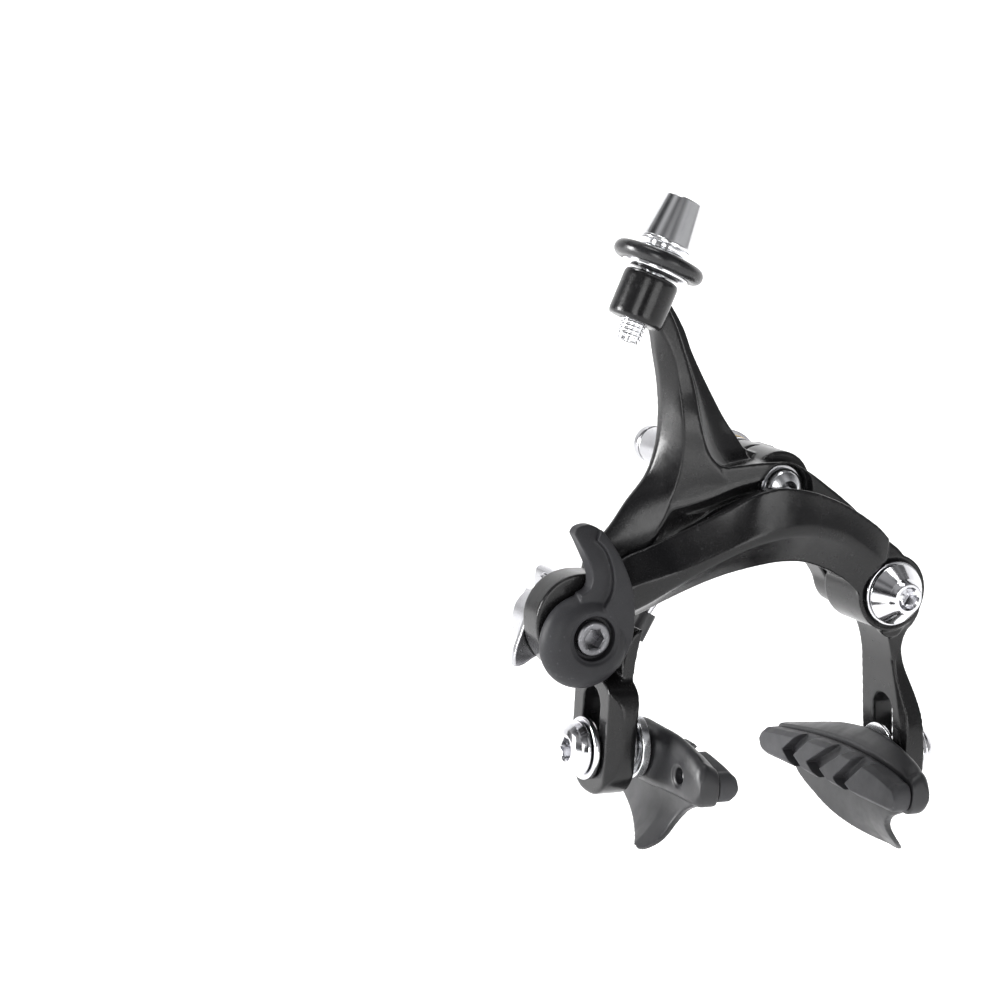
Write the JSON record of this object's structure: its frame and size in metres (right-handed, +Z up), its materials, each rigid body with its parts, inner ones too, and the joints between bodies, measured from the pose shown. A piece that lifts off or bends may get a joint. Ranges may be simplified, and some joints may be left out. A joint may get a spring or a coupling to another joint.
{
  "type": "rim brake caliper",
  "caption": "Dual-pivot side-pull rim brake caliper with curved arms, cable adjuster, quick-release lever and finned brake shoes.",
  "frame": {"origin": "on the centre bolt's axis, in the plane of the rear washer's face that bears on the fork crown", "axes": "+Z up (towards the cable adjuster), -Y towards the front (lever side), +Y towards the fork, +X to the right seen from the front"},
  "size_m": [0.0929, 0.0762, 0.1278],
  "materials": {
    "black_paint": "satin",
    "lever_plastic": "matte",
    "holder": "satin",
    "pad_rubber": "matte",
    "o_ring": "satin",
    "chrome": "polished",
    "aluminium": "turned",
    "steel": "satin",
    "brass": "satin",
    "nylon": "satin"
  },
  "bodies": {
    "mount_stack": {"rear_bridge": "black_paint", "centre_bolt": "chrome", "front_thrust_washer": "steel", "rear_thrust_washer": "brass", "serrated_washer": "steel", "concave_washer": "brass", "fork_washer": "steel", "sleeve_nut": "chrome", "side_pivot_bolt": "chrome", "side_pivot_washer": "chrome", "side_thrust_washer": "brass", "return_spring": "steel", "spring_sleeve": "nylon"},
    "rear_arm": {"y_arm": "black_paint", "centre_bush": "brass", "centring_screw": "steel"},
    "ferrule": {"housing_ferrule": "aluminium"},
    "adjuster": {"adjuster_barrel": "aluminium", "adjuster_o_ring": "o_ring"},
    "front_arm": {"c_arm": "black_paint", "side_pivot_bush": "brass", "qr_washer": "steel"},
    "cable_anchor": {"anchor_plate": "steel", "anchor_barrel": "aluminium", "pinch_screw": "steel", "anchor_nut": "steel"},
    "quick_release": {"qr_lever": "lever_plastic", "qr_cam_bolt": "steel"},
    "left_shoe_seat": {"left_flange_washer": "chrome", "left_dome_washer": "aluminium"},
    "left_shoe": {"left_pad": "pad_rubber", "left_holder": "holder", "left_pad_screw": "steel", "left_cup_washer": "aluminium", "left_shoe_bolt": "chrome"},
    "right_shoe_seat": {"right_flange_washer": "chrome"},
    "right_shoe": {"right_pad": "pad_rubber", "right_holder": "holder", "right_pad_screw": "steel", "right_inner_washer": "aluminium", "right_shoe_bolt": "chrome"}
  },
  "joints": [
    {"name": "rear_arm_pivot", "type": "hinge", "parent": "mount_stack", "child": "rear_arm", "pos_m": [0, -0.02, 0], "axis": [0, 1, 0], "range_deg": [-11, 0], "stiffness_Nm_per_rad": 0.5, "springref_deg": 20.05},
    {"name": "front_arm_pivot", "type": "hinge", "parent": "mount_stack", "child": "front_arm", "pos_m": [0.0256, -0.022, -0.0205], "axis": [0, 1, 0], "range_deg": [0, 16.9]},
    {"name": "ferrule_rise", "type": "slide", "parent": "rear_arm", "child": "ferrule", "axis": [0.347, 0, 0.9379], "range_m": [0, 0.0032]},
    {"name": "adjuster_turn", "type": "hinge", "parent": "ferrule", "child": "adjuster", "pos_m": [-0.02535, -0.0211, 0.05258], "axis": [0.347, 0, 0.9379], "range_deg": [0, 1440]},
    {"name": "anchor_swivel", "type": "hinge", "parent": "front_arm", "child": "cable_anchor", "pos_m": [-0.042, -0.015, -0.0267], "axis": [0, 1, 0], "range_deg": [-8, 8]},
    {"name": "lever_turn", "type": "hinge", "parent": "front_arm", "child": "quick_release", "pos_m": [-0.042, -0.029, -0.0267], "axis": [0, 1, 0], "range_deg": [-100, 0]},
    {"name": "left_shoe_height", "type": "slide", "parent": "rear_arm", "child": "left_shoe_seat", "axis": [0, 0, 1], "range_m": [0, 0.006]},
    {"name": "left_shoe_angle", "type": "hinge", "parent": "left_shoe_seat", "child": "left_shoe", "pos_m": [-0.0288, -0.023, -0.0501], "axis": [1, 0, 0], "range_deg": [-6, 6]},
    {"name": "right_shoe_height", "type": "slide", "parent": "front_arm", "child": "right_shoe_seat", "axis": [-0.119, 0, 0.9929], "range_m": [0, 0.008]},
    {"name": "right_shoe_angle", "type": "hinge", "parent": "right_shoe_seat", "child": "right_shoe", "pos_m": [0.0312, -0.023, -0.0551], "axis": [1, 0, 0], "range_deg": [-6, 6]}
  ],
  "couplings": [
    {"joint": "front_arm_pivot", "follows": "rear_arm_pivot", "ratio": -1.53},
    {"joint": "adjuster_turn", "follows": "ferrule_rise", "rad_per_m": 7853.9}
  ]
}
